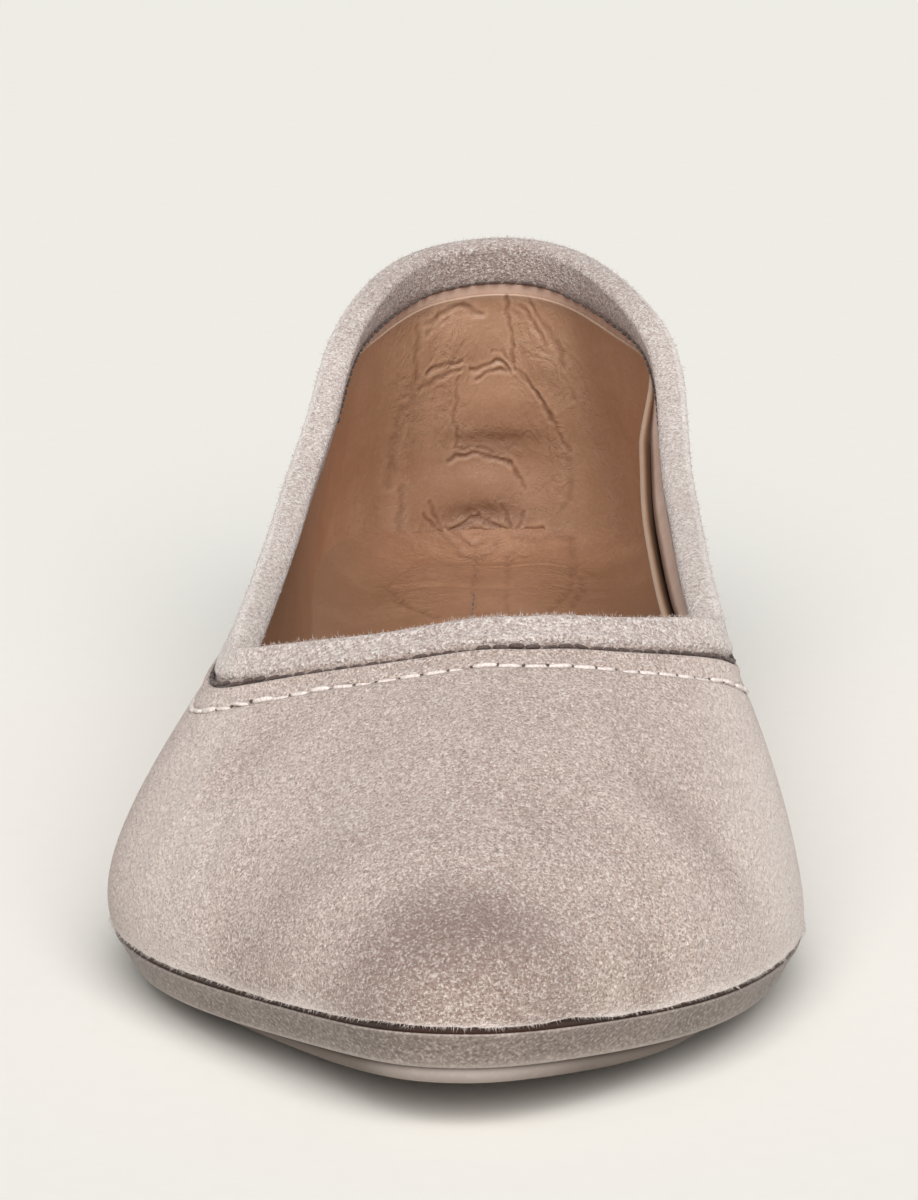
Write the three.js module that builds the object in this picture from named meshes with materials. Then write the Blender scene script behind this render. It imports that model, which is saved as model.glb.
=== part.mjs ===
// A right-foot ballet flat: suede upper, rolled topline binding, wrapped midsole, thin outsole and low heel.
// Millimetres, +Z up. The toe points to -Y and the inner (medial) side of the foot is at +X.
import * as THREE from 'three';

// Driving sizes
const LENGTH = 240;            // heel back to toe tip along the feather line
const BALL_WIDTH = 84;         // feather line across the ball
const THROAT_HEIGHT = 45.1;    // floor to the middle of the throat edge of the upper
const BACK_HEIGHT = 63;        // floor to the back edge of the upper
const HEEL_LIFT = 6;           // floor to the outsole over the heel block
const TOE_SPRING = 6.5;        // lift of the outsole at the toe tip
const WALL = 2;                // suede and lining together
const OUTSOLE_THICKNESS = 1.6;
const MIDSOLE_THICKNESS = 4.4;
const INSOLE_THICKNESS = 2.6;
const CLEARANCE = 0.3;         // between pieces that meet

// Sole edge: how far each level lies inside the one above
const MIDSOLE_UNDERCUT = 2.1;
const MIDSOLE_ROUNDING = 0.8;
const OUTSOLE_TOE_STEP = 0.2;  // the outsole shows as a lip at the toe
const OUTSOLE_SIDE_STEP = 3.2; // and is set back along the ball
const OUTSOLE_HEEL_STEP = 0.6;
const OUTSOLE_BEVEL = 1.0;
const INSOLE_ROUNDING = 0.8;

// Rolled binding over the upper's top edge
const BINDING_THICKNESS = 0.8;
const BINDING_ROUNDING = 0.3;  // of its edges
const BINDING_OUTER_DEPTH = 4.2;
const BINDING_BACK_DEPTH = 6.4; // inside the heel
const BINDING_SIDE_DEPTH = 2.6; // inside the sides and the throat

// Shares of the length along the sole
const HEEL_BREAST = 0.25;
const ARCH_START = 0.25;
const BALL_START = 0.54;
const SPRING_START = 0.64;
const SIDE_STEP_START = 0.3;
const LIP_START = 0.84;
const LIP_END = 0.97;
const BACK_BAND_START = 0.05;
const BACK_BAND_END = 0.17;
const SPRING_POWER = 1.9;
const HEEL_TAPER = 1.2;

// Mesh density
const STEPS_PER_SECTION = 3;
const WALL_ROWS = 13;
const SPLINE_PASSES = 60;
const ARC_STEPS = 120;         // straight steps that measure a wall curve
const PROBE = 0.02;            // sections either side of a place, to find a direction
const END_TRIM = 0.12;         // sections left off at the heel back and toe tip, where the two sides meet

// Feather line, where upper and sole meet. at: share of the length from the heel.
// lateral, medial: half widths as shares of the ball width.
const FEATHER = table(['at', 'lateral', 'medial'], {
  heelBack: [0, 0, 0],
  heelTurn: [0.012, 0.167, 0.163],
  heelRound: [0.05, 0.286, 0.276],
  heelSide: [0.125, 0.339, 0.321],
  quarterBack: [0.233, 0.339, 0.31],
  waistBack: [0.35, 0.336, 0.28],
  waistFront: [0.458, 0.363, 0.28],
  jointBack: [0.55, 0.432, 0.32],
  joint: [0.633, 0.52, 0.39],
  ballBack: [0.708, 0.562, 0.433],
  ballFront: [0.783, 0.531, 0.419],
  vampSide: [0.854, 0.438, 0.36],
  vamp: [0.9125, 0.325, 0.272],
  toeSide: [0.958, 0.232, 0.158],
  toeTurn: [0.99, 0.145, 0.045],
  toe: [1, 0.048, -0.048],
});

// Top edge of the upper. Places are shares of the length from the heel, half widths are shares of the
// ball width, and rise goes from 0 at the throat's height to 1 at the back's height.
const TOPLINE = table(['lateralAt', 'medialAt', 'lateral', 'medial', 'lateralRise', 'medialRise'], {
  heelBack: [0.023, 0.023, 0, 0, 1, 1],
  heelTurn: [0.031, 0.031, 0.108, 0.094, 0.96, 0.96],
  heelRound: [0.068, 0.068, 0.206, 0.184, 0.83, 0.83],
  heelSide: [0.154, 0.154, 0.28, 0.273, 0.53, 0.53],
  quarterBack: [0.258, 0.258, 0.309, 0.293, 0.2, 0.2],
  waistBack: [0.358, 0.358, 0.336, 0.292, -0.065, -0.005],
  waistFront: [0.45, 0.45, 0.351, 0.297, -0.195, -0.105],
  jointBack: [0.542, 0.542, 0.366, 0.301, -0.28, -0.155],
  joint: [0.621, 0.608, 0.379, 0.307, -0.34, -0.21],
  ballBack: [0.673, 0.658, 0.386, 0.313, -0.39, -0.27],
  ballFront: [0.699, 0.686, 0.36, 0.296, -0.37, -0.2],
  vampSide: [0.717, 0.709, 0.283, 0.239, -0.275, -0.125],
  vamp: [0.735, 0.732, 0.187, 0.153, -0.17, -0.055],
  toeSide: [0.745, 0.744, 0.101, 0.083, -0.075, -0.005],
  toeTurn: [0.749, 0.749, 0.048, 0.036, -0.02, 0],
  toe: [0.75, 0.75, 0.002, -0.002, 0, 0],
});

// How the wall leaves the feather line and reaches the topline. Leans are degrees above the level,
// reaches are shares of the throat's height, and aim is the plan direction down from the topline.
const WALL_CURVE = table(
  ['lateralLean', 'medialLean', 'lateralReach', 'medialReach',
    'lateralTopLean', 'medialTopLean', 'lateralTopReach', 'medialTopReach', 'aim'], {
    heelBack: [76, 76, 0.35, 0.35, 81, 81, 0.35, 0.35, -90],
    heelTurn: [76, 76, 0.33, 0.33, 82, 82, 0.35, 0.35, -62],
    heelRound: [76, 76, 0.285, 0.285, 83, 83, 0.33, 0.33, -32],
    heelSide: [76, 78, 0.265, 0.265, 84, 84, 0.31, 0.31, -10],
    quarterBack: [76, 80, 0.22, 0.22, 84, 84, 0.265, 0.265, -3],
    waistBack: [76, 80, 0.2, 0.2, 82, 84, 0.22, 0.22, 0],
    waistFront: [76, 82, 0.2, 0.2, 74, 84, 0.2, 0.2, 0],
    jointBack: [76, 84, 0.2, 0.2, 62, 80, 0.17, 0.155, 2],
    joint: [77, 87, 0.2, 0.175, 53, 72, 0.12, 0.11, 8],
    ballBack: [68, 84, 0.21, 0.19, 43, 54, 0.12, 0.11, 20],
    ballFront: [68, 80, 0.235, 0.205, 34, 40, 0.15, 0.135, 38],
    vampSide: [75, 79, 0.26, 0.235, 27, 31, 0.265, 0.245, 58],
    vamp: [77, 78, 0.305, 0.285, 22, 23, 0.38, 0.36, 70],
    toeSide: [78, 79, 0.33, 0.32, 20, 20, 0.5, 0.49, 80],
    toeTurn: [80, 80, 0.33, 0.33, 19, 19, 0.56, 0.56, 86],
    toe: [80, 80, 0.33, 0.33, 18, 18, 0.58, 0.58, 90],
  });

const SUEDE = new THREE.MeshStandardMaterial({ color: 0xc0aea5, roughness: 0.95, metalness: 0 });
const BINDING_SUEDE = new THREE.MeshStandardMaterial({ color: 0xb3a39a, roughness: 0.95, metalness: 0 });
const RAND = new THREE.MeshStandardMaterial({ color: 0x8a7d75, roughness: 0.85, metalness: 0 });
const LEATHER = new THREE.MeshStandardMaterial({ color: 0x8b6245, roughness: 0.55, metalness: 0 });
const RUBBER = new THREE.MeshStandardMaterial({ color: 0xa49891, roughness: 0.8, metalness: 0 });

const LAST_SECTION = FEATHER.length - 1;

// Rows of a table as objects with named columns
function table(columns, rows) {
  return Object.values(rows).map((values) =>
    Object.fromEntries(columns.map((column, i) => [column, values[i]])));
}

// Smooth step from 0 at a to 1 at b
function blend(a, b, x) {
  const t = THREE.MathUtils.clamp((x - a) / (b - a), 0, 1);
  return t * t * (3 - 2 * t);
}

// Underside of the outsole: level over the heel block, down the arch, flat at the ball, up at the toe
function groundHeight(y) {
  const share = 0.5 - y / LENGTH;
  const arch = HEEL_LIFT * (1 - blend(ARCH_START, BALL_START, share));
  const past = Math.max((share - SPRING_START) / (1 - SPRING_START), 0);
  return arch + TOE_SPRING * past ** SPRING_POWER;
}

// Heights of the levels of the stack over the ground line
const MIDSOLE_BOTTOM = OUTSOLE_THICKNESS + CLEARANCE;
const MIDSOLE_TOP = MIDSOLE_BOTTOM + MIDSOLE_THICKNESS;
const FEATHER_LEVEL = MIDSOLE_TOP + CLEARANCE;

// One control row for each section and side: heel back, down the lateral side, toe, back on the medial side
function ringRows() {
  const rows = [];
  for (let i = 0; i <= LAST_SECTION; i += 1) rows.push(controlRow(i, 'lateral', -1));
  for (let i = LAST_SECTION - 1; i > 0; i -= 1) rows.push(controlRow(i, 'medial', 1));
  return rows;
}

function controlRow(i, side, sign) {
  const feather = FEATHER[i];
  const top = TOPLINE[i];
  const curve = WALL_CURVE[i];
  const aim = THREE.MathUtils.degToRad(curve.aim);
  const onAxis = i === 0 || i === LAST_SECTION;
  return [
    sign * feather[side] * BALL_WIDTH,
    LENGTH * (0.5 - feather.at),
    sign * top[side] * BALL_WIDTH,
    LENGTH * (0.5 - top[`${side}At`]),
    THROAT_HEIGHT + top[`${side}Rise`] * (BACK_HEIGHT - THROAT_HEIGHT),
    THREE.MathUtils.degToRad(curve[`${side}Lean`]),
    curve[`${side}Reach`] * THROAT_HEIGHT,
    THREE.MathUtils.degToRad(curve[`${side}TopLean`]),
    curve[`${side}TopReach`] * THROAT_HEIGHT,
    onAxis ? 0 : sign * Math.cos(aim),
    -Math.sin(aim),
  ];
}

// Control rows of the closed cubic spline that passes through the given rows
function splineControls(points) {
  const count = points.length;
  let controls = points;
  for (let pass = 0; pass < SPLINE_PASSES; pass += 1) {
    controls = points.map((point, i) => {
      const before = controls[(i + count - 1) % count];
      const after = controls[(i + 1) % count];
      return point.map((value, k) => (6 * value - before[k] - after[k]) / 4);
    });
  }
  return controls;
}

const RING = splineControls(ringRows());

// Value of the closed spline at u, counted in sections from the heel back
function ringAt(u) {
  const count = RING.length;
  const place = ((u % count) + count) % count;
  const i = Math.floor(place);
  const t = place - i;
  const weights = [
    (1 - t) ** 3,
    3 * t ** 3 - 6 * t ** 2 + 4,
    -3 * t ** 3 + 3 * t ** 2 + 3 * t + 1,
    t ** 3,
  ];
  return RING[0].map((_, k) => weights.reduce(
    (sum, weight, j) => sum + weight * RING[(i + count - 1 + j) % count][k] / 6, 0));
}

// Outward normal of the feather line in plan
function featherNormal(u) {
  const a = ringAt(u - PROBE);
  const b = ringAt(u + PROBE);
  return new THREE.Vector2(b[1] - a[1], a[0] - b[0]).normalize();
}

// Point of the feather line moved outwards by offset
function featherPoint(u, offset) {
  const row = ringAt(u);
  const normal = featherNormal(u);
  return new THREE.Vector2(row[0] + offset * normal.x, row[1] + offset * normal.y);
}

// Outer face of the upper as one cubic curve for each u: t is 0 at the feather line and 1 at the topline
function wallCurve(u) {
  const [x, y, topX, topY, topZ, lean, reach, topLean, topReach, aimX, aimY] = ringAt(u);
  const out = featherNormal(u);
  const aim = new THREE.Vector2(aimX, aimY).normalize();
  const foot = new THREE.Vector3(x, y, groundHeight(y) + FEATHER_LEVEL);
  const top = new THREE.Vector3(topX, topY, topZ);
  const flat = reach * Math.cos(lean);
  const topFlat = topReach * Math.cos(topLean);
  const low = new THREE.Vector3(flat * out.x, flat * out.y, reach * Math.sin(lean));
  const high = new THREE.Vector3(topFlat * aim.x, topFlat * aim.y, -topReach * Math.sin(topLean));
  const curve = new THREE.CubicBezierCurve3(foot, low.add(foot), high.add(top), top);
  curve.arcLengthDivisions = ARC_STEPS;
  return curve;
}

function wallPoint(u, t) {
  return wallCurve(u).getPoint(t);
}

// Outward normal of the upper's outer face
function wallNormal(u, t) {
  const low = Math.max(t - PROBE / 2, 0);
  const high = Math.min(t + PROBE / 2, 1);
  const around = wallPoint(u + PROBE / 2, t).sub(wallPoint(u - PROBE / 2, t));
  const upward = wallPoint(u, high).sub(wallPoint(u, low));
  return around.cross(upward).normalize();
}

// Point inside or outside the outer face by offset, at t on the wall
function shellPoint(u, t, offset) {
  return wallPoint(u, t).addScaledVector(wallNormal(u, t), offset);
}

// How far the binding reaches down inside: deep in the heel, shallow along the sides and the throat
function bindingInnerDepth(u) {
  const share = 0.5 - ringAt(u)[3] / LENGTH;
  const side = blend(BACK_BAND_START, BACK_BAND_END, share);
  return THREE.MathUtils.lerp(BINDING_BACK_DEPTH, BINDING_SIDE_DEPTH, side);
}

// Places t on the wall at given depths below the topline, measured along the wall
function depthPlaces(u, depths) {
  const curve = wallCurve(u);
  const length = curve.getLength();
  return depths.map((depth) => curve.getUtoTmapping(1 - depth / length));
}

// Rows of the upper: even steps from the feather line, then one row at the end of each leg of the binding
function wallRows(u) {
  const inner = bindingInnerDepth(u);
  const length = wallCurve(u).getLength();
  const below = length - Math.max(inner, BINDING_OUTER_DEPTH);
  const depths = [];
  for (let k = 0; k < WALL_ROWS; k += 1) depths.push(length - below * k / (WALL_ROWS - 1));
  depths.push(Math.min(inner, BINDING_OUTER_DEPTH), 0);
  return depthPlaces(u, depths);
}

// Closed mesh from rings of points: each ring joins the next, and the last joins the first
function torusMesh(rings) {
  const around = rings[0].length;
  const count = rings.length;
  const positions = rings.flat().flatMap((p) => [p.x, p.y, p.z]);
  const index = [];
  for (let i = 0; i < count; i += 1) {
    const next = (i + 1) % count;
    for (let k = 0; k < around; k += 1) {
      const turn = (k + 1) % around;
      const a = i * around + k;
      const b = i * around + turn;
      const c = next * around + turn;
      const d = next * around + k;
      index.push(a, c, b, a, d, c);
    }
  }
  return indexed(positions, index);
}

// Closed mesh from stations of points along the shoe, with a fan over the first and the last station
function barMesh(stations) {
  const around = stations[0].length;
  const positions = stations.flat().flatMap((p) => [p.x, p.y, p.z]);
  const index = [];
  for (let i = 0; i + 1 < stations.length; i += 1) {
    for (let k = 0; k < around; k += 1) {
      const turn = (k + 1) % around;
      const a = i * around + k;
      const b = i * around + turn;
      const c = (i + 1) * around + turn;
      const d = (i + 1) * around + k;
      index.push(a, c, b, a, d, c);
    }
  }
  const end = (stations.length - 1) * around;
  for (let k = 1; k + 1 < around; k += 1) {
    index.push(0, k, k + 1);
    index.push(end, end + k + 1, end + k);
  }
  return indexed(positions, index);
}

function indexed(positions, index) {
  const geometry = new THREE.BufferGeometry();
  geometry.setAttribute('position', new THREE.Float32BufferAttribute(positions, 3));
  geometry.setIndex(index);
  geometry.computeVertexNormals();
  return geometry;
}

function named(name, geometry, material) {
  const mesh = new THREE.Mesh(geometry, material);
  mesh.name = name;
  return mesh;
}

// Columns around the shoe, shared by the upper and its binding
function columns() {
  const count = RING.length * STEPS_PER_SECTION;
  return Array.from({ length: count }, (_, i) => i / STEPS_PER_SECTION);
}

// Hollow upper: outer face up, inner face down, closed over both edges
function makeUpper() {
  const rings = columns().map((u) => {
    const rows = wallRows(u);
    const outer = rows.map((t) => wallPoint(u, t));
    const inner = rows.map((t) => shellPoint(u, t, -WALL));
    const foot = featherPoint(u, -WALL);
    inner[0] = new THREE.Vector3(foot.x, foot.y, groundHeight(foot.y) + FEATHER_LEVEL);
    return [...outer, ...inner.reverse()];
  });
  return named('upper', torusMesh(rings), SUEDE);
}

// Rolled binding: a folded strip over the top edge, longer inside the heel
function makeBinding() {
  const outside = CLEARANCE + BINDING_THICKNESS;
  const inside = WALL + CLEARANCE;
  const rings = columns().map((u) => {
    const [outerLow, innerLow] = depthPlaces(u, [BINDING_OUTER_DEPTH, bindingInnerDepth(u)]);
    const top = wallPoint(u, 1);
    const normal = wallNormal(u, 1);
    const rise = top.clone().sub(wallPoint(u, 1 - PROBE)).normalize();
    const over = (across, up) => top.clone().addScaledVector(normal, across).addScaledVector(rise, up);
    return [
      shellPoint(u, outerLow, CLEARANCE),
      shellPoint(u, outerLow, outside - BINDING_ROUNDING),
      over(outside, 0),
      over(outside - BINDING_ROUNDING, outside - BINDING_ROUNDING),
      over(-WALL / 2, outside),
      over(BINDING_ROUNDING - inside - BINDING_THICKNESS, outside - BINDING_ROUNDING),
      over(-inside - BINDING_THICKNESS, 0),
      shellPoint(u, innerLow, BINDING_ROUNDING - inside - BINDING_THICKNESS),
      shellPoint(u, innerLow, -inside),
      over(-inside, CLEARANCE),
      over(CLEARANCE, CLEARANCE),
    ];
  });
  return named('topline_binding', torusMesh(rings), BINDING_SUEDE);
}

// Stations of a sole layer from the heel back to the toe tip: rings of lateral and medial edge points.
// levels: inset from the feather line and height over the ground line, from the bottom up.
// step: a further inset that changes along the shoe.
function soleStations(levels, places, step = () => 0) {
  return places.map((u) => {
    const side = (place) => levels.map(({ inset, height }) => {
      const point = featherPoint(place, -inset - step(u));
      return new THREE.Vector3(point.x, point.y, groundHeight(point.y) + height);
    });
    return [...side(u), ...side(RING.length - u).reverse()];
  });
}

// Places along one side of the shoe, from just off the heel back to just off the toe tip
function sidePlaces(from, to) {
  const count = Math.round((to - from) * STEPS_PER_SECTION);
  return Array.from({ length: count + 1 }, (_, i) => from + (to - from) * i / count);
}

function makeMidsole() {
  const levels = [
    { inset: MIDSOLE_UNDERCUT + MIDSOLE_ROUNDING, height: MIDSOLE_BOTTOM },
    { inset: MIDSOLE_UNDERCUT, height: MIDSOLE_BOTTOM + MIDSOLE_ROUNDING },
    { inset: 0, height: MIDSOLE_TOP },
  ];
  const stations = soleStations(levels, sidePlaces(END_TRIM, LAST_SECTION - END_TRIM));
  return named('midsole', barMesh(stations), RAND);
}

// How far the outsole's edge is set back from the midsole's lower edge at u
function outsoleStep(u) {
  const share = 0.5 - ringAt(u)[1] / LENGTH;
  const side = blend(SIDE_STEP_START, BALL_START, share) * (OUTSOLE_SIDE_STEP - OUTSOLE_HEEL_STEP);
  const lip = blend(LIP_START, LIP_END, share) * (OUTSOLE_TOE_STEP - OUTSOLE_SIDE_STEP);
  return OUTSOLE_HEEL_STEP + side + lip;
}

function makeOutsole() {
  const inset = MIDSOLE_UNDERCUT + MIDSOLE_ROUNDING;
  const levels = [
    { inset: inset + OUTSOLE_BEVEL, height: 0 },
    { inset, height: OUTSOLE_THICKNESS / 2 },
    { inset, height: OUTSOLE_THICKNESS },
  ];
  const places = sidePlaces(END_TRIM, LAST_SECTION - END_TRIM);
  return named('outsole', barMesh(soleStations(levels, places, outsoleStep)), RUBBER);
}

function makeInsole() {
  const inset = WALL + CLEARANCE;
  const levels = [
    { inset, height: FEATHER_LEVEL },
    { inset, height: FEATHER_LEVEL + INSOLE_THICKNESS - INSOLE_ROUNDING },
    { inset: inset + INSOLE_ROUNDING, height: FEATHER_LEVEL + INSOLE_THICKNESS },
  ];
  const stations = soleStations(levels, sidePlaces(END_TRIM, LAST_SECTION - END_TRIM));
  return named('insole', barMesh(stations), LEATHER);
}

// Section number where the feather line reaches a share of the length
function sectionAt(share) {
  const i = FEATHER.findIndex((row) => row.at > share) - 1;
  return i + (share - FEATHER[i].at) / (FEATHER[i + 1].at - FEATHER[i].at);
}

// Low heel block, level under the outsole and flat on the floor
function makeHeel() {
  const inset = MIDSOLE_UNDERCUT + MIDSOLE_ROUNDING + OUTSOLE_HEEL_STEP + OUTSOLE_BEVEL;
  const stations = sidePlaces(END_TRIM, sectionAt(HEEL_BREAST)).map((u) => {
    const side = (place) => [
      { offset: inset + HEEL_TAPER, z: 0 },
      { offset: inset, z: HEEL_LIFT - CLEARANCE },
    ].map(({ offset, z }) => {
      const point = featherPoint(place, -offset);
      return new THREE.Vector3(point.x, point.y, z);
    });
    return [...side(u), ...side(RING.length - u).reverse()];
  });
  return named('heel', barMesh(stations), RUBBER);
}

const shoe = new THREE.Group();
shoe.add(makeOutsole(), makeHeel(), makeMidsole(), makeInsole(), makeUpper(), makeBinding());

// The origin is the middle of the shoe's box, on the floor
const box = new THREE.Box3().setFromObject(shoe);
const middle = box.getCenter(new THREE.Vector3());
shoe.position.set(-middle.x, -middle.y, -box.min.z);

export default shoe;
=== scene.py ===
"""Looks of a right-foot ballet flat: suede upper, rolled binding, leather lining, wrapped midsole.

Shapes are worked out in millimetres in the part's own frame (toe to -Y, medial side to +X) from the same
sections as the solids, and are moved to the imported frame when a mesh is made.
"""
import math

import bpy
import numpy as np
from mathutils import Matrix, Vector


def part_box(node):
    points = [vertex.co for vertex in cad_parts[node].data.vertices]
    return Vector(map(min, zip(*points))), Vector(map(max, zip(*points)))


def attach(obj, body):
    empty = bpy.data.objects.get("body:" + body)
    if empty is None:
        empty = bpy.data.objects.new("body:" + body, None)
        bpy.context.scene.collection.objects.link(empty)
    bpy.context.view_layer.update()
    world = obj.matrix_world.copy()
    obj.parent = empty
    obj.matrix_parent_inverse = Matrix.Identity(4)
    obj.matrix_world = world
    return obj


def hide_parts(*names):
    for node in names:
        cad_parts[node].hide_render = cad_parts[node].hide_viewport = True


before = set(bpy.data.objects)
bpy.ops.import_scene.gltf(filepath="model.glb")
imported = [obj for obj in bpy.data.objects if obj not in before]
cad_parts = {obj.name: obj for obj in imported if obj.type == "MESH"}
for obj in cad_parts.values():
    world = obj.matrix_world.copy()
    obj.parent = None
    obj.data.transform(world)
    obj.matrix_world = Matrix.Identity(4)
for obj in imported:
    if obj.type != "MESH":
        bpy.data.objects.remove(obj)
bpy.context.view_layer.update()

MM = 0.001

# Driving sizes in millimetres, the same as the solids'
LENGTH = 240.0
BALL_WIDTH = 84.0
THROAT_HEIGHT = 45.1
BACK_HEIGHT = 63.0
HEEL_LIFT = 6.0
TOE_SPRING = 6.5
WALL = 2.0
OUTSOLE_THICKNESS = 1.6
MIDSOLE_THICKNESS = 4.4
INSOLE_THICKNESS = 2.6
CLEARANCE = 0.3
MIDSOLE_UNDERCUT = 2.1
MIDSOLE_ROUNDING = 0.8
OUTSOLE_TOE_STEP = 0.2
OUTSOLE_SIDE_STEP = 3.2
OUTSOLE_HEEL_STEP = 0.6
OUTSOLE_BEVEL = 1.0
BINDING_THICKNESS = 0.8
BINDING_SIDE_DEPTH = 2.6
HEEL_TAPER = 1.2

# Shares of the length along the sole, from the heel
HEEL_BREAST = 0.25
ARCH_START = 0.25
BALL_START = 0.54
SPRING_START = 0.64
SPRING_POWER = 1.9
SIDE_STEP_START = 0.3
LIP_START = 0.84
LIP_END = 0.97
BACK_BAND_START = 0.05
BACK_BAND_END = 0.17

MIDSOLE_BOTTOM = OUTSOLE_THICKNESS + CLEARANCE
MIDSOLE_TOP = MIDSOLE_BOTTOM + MIDSOLE_THICKNESS
FEATHER_LEVEL = MIDSOLE_TOP + CLEARANCE

# Feather line: place from the heel as a share of the length, half widths as shares of the ball width
FEATHER = (
    # at, lateral, medial
    (0, 0, 0),
    (0.012, 0.167, 0.163),
    (0.05, 0.286, 0.276),
    (0.125, 0.339, 0.321),
    (0.233, 0.339, 0.31),
    (0.35, 0.336, 0.28),
    (0.458, 0.363, 0.28),
    (0.55, 0.432, 0.32),
    (0.633, 0.52, 0.39),
    (0.708, 0.562, 0.433),
    (0.783, 0.531, 0.419),
    (0.854, 0.438, 0.36),
    (0.9125, 0.325, 0.272),
    (0.958, 0.232, 0.158),
    (0.99, 0.145, 0.045),
    (1, 0.048, -0.048),
)

# Top edge: places from the heel, half widths, and rise from the throat's height (0) to the back's (1)
TOPLINE = (
    # lateral at, medial at, lateral, medial, lateral rise, medial rise
    (0.023, 0.023, 0, 0, 1, 1),
    (0.031, 0.031, 0.108, 0.094, 0.96, 0.96),
    (0.068, 0.068, 0.206, 0.184, 0.83, 0.83),
    (0.154, 0.154, 0.28, 0.273, 0.53, 0.53),
    (0.258, 0.258, 0.309, 0.293, 0.2, 0.2),
    (0.358, 0.358, 0.336, 0.292, -0.065, -0.005),
    (0.45, 0.45, 0.351, 0.297, -0.195, -0.105),
    (0.542, 0.542, 0.366, 0.301, -0.28, -0.155),
    (0.621, 0.608, 0.379, 0.307, -0.34, -0.21),
    (0.673, 0.658, 0.386, 0.313, -0.39, -0.27),
    (0.699, 0.686, 0.36, 0.296, -0.37, -0.2),
    (0.717, 0.709, 0.283, 0.239, -0.275, -0.125),
    (0.735, 0.732, 0.187, 0.153, -0.17, -0.055),
    (0.745, 0.744, 0.101, 0.083, -0.075, -0.005),
    (0.749, 0.749, 0.048, 0.036, -0.02, 0),
    (0.75, 0.75, 0.002, -0.002, 0, 0),
)

# Wall: lean and reach at the feather line, lean and reach at the topline, and the plan aim at the top
WALL_CURVE = (
    # lateral lean, medial lean, lateral reach, medial reach, then the same four at the top, aim
    (76, 76, 0.35, 0.35, 81, 81, 0.35, 0.35, -90),
    (76, 76, 0.33, 0.33, 82, 82, 0.35, 0.35, -62),
    (76, 76, 0.285, 0.285, 83, 83, 0.33, 0.33, -32),
    (76, 78, 0.265, 0.265, 84, 84, 0.31, 0.31, -10),
    (76, 80, 0.22, 0.22, 84, 84, 0.265, 0.265, -3),
    (76, 80, 0.2, 0.2, 82, 84, 0.22, 0.22, 0),
    (76, 82, 0.2, 0.2, 74, 84, 0.2, 0.2, 0),
    (76, 84, 0.2, 0.2, 62, 80, 0.17, 0.155, 2),
    (77, 87, 0.2, 0.175, 53, 72, 0.12, 0.11, 8),
    (68, 84, 0.21, 0.19, 43, 54, 0.12, 0.11, 20),
    (68, 80, 0.235, 0.205, 34, 40, 0.15, 0.135, 38),
    (75, 79, 0.26, 0.235, 27, 31, 0.265, 0.245, 58),
    (77, 78, 0.305, 0.285, 22, 23, 0.38, 0.36, 70),
    (78, 79, 0.33, 0.32, 20, 20, 0.5, 0.49, 80),
    (80, 80, 0.33, 0.33, 19, 19, 0.56, 0.56, 86),
    (80, 80, 0.33, 0.33, 18, 18, 0.58, 0.58, 90),
)
SECTIONS = len(FEATHER)
SPLINE_PASSES = 60

# Camera, fitted to the photograph's lines, in the part's own frame
CAMERA_PLACE = (0.6, -709.0, 194.9)
CAMERA_PITCH = 12.74
CAMERA_YAW = -0.5
CAMERA_LENS = 168.0

# Light: the front light's share of the floor's light, its spread, rise and turn in degrees
FRONT_LIGHT_SHARE = 0.83
FRONT_LIGHT_SPREAD = 54.0
FRONT_LIGHT_RISE = 41.0
FRONT_LIGHT_TURN = 3.0
FRONT_LIGHT_COLOUR = (1.015, 1.0, 0.985)
SURROUND_COLOUR = (0.9, 0.985, 1.1, 1.0)

# Mesh density: columns round the shoe, and closer ones on the creased back wall of the lining
COLUMNS = 600
BACK_SPAN = 2.6
BACK_COLUMNS = 330
SIDE_COLUMNS = 220
LINING_ROWS = 150
FINE_ROWS = 161

# Wall of the upper: rows near the sole's edge (mm up), even rows between, close rows by the topline, rows of
# the flesh side, and how far up the lift of the raw edge fades
LOW_ROWS = (0.0, 0.12, 0.25, 0.45, 0.7, 1.0, 1.5, 2.2, 3.0)
MIDDLE_ROWS = 62
TOP_ROWS = 48
TOP_ZONE = 12.0
FLESH_ROWS = 12
SUEDE_THICKNESS = 1.1
EDGE_FADE = 1.2

# Depths below the topline; inside the heel the binding ends higher than the solid's, as in the photograph
GROOVE_DEPTH = 4.8
VAMP_STITCH_DEPTH = 8.9
BINDING_BACK_DEPTH = 5.4

# Binding: its face outside the upper's, rows of its roll, how many of them face out, and rows inside
BINDING_FACE = CLEARANCE + BINDING_THICKNESS
ROLL_ROWS = 17
ROLL_OUTSIDE = 5
INNER_LEG_ROWS = 12

# Lining: face inside the upper's outer face, its sheet, and where its medial edge hangs loose, in sections
LINING_FACE = WALL + 0.35
LINING_SHEET = 0.8
LOOSE_SLACK = 3.3
FACING_LEAN = 2.0
LOOSE_FRONT = (18.0, 19.8)
LOOSE_BACK = (26.0, 27.0)
HIDDEN_ROWS = 24

# Pad behind the lining's back wall: thickness, and where it starts and ends across
PAD_THICKNESS = 1.2
PAD_LATERAL = (-19.0, -14.5)
PAD_MEDIAL = (8.5, 13.0)

# Footbed: width and rows of the rim that rises along the wall, and strips across its top
RIM_WIDTH = 9.0
RIM_ROWS = 26
SEAT_STRIPS = 100
FOOTBED_TOP = FEATHER_LEVEL + INSOLE_THICKNESS

# Points along a stitch, a seam round the shoe and the footbed's seam
STITCH_POINTS = 7
SEAM_POINTS = 1400
SEAT_SEAM_POINTS = 60

# Loose fibres of the raw edge and of the binding, and half the floor's width in metres
EDGE_FIBRES = 5000
BINDING_FIBRES = 9000
FLOOR_HALF = 8.0


def blend(start, end, value):
    """Smooth step from 0 at start to 1 at end."""
    t = np.clip((value - start) / (end - start), 0.0, 1.0)
    return t * t * (3.0 - 2.0 * t)


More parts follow.
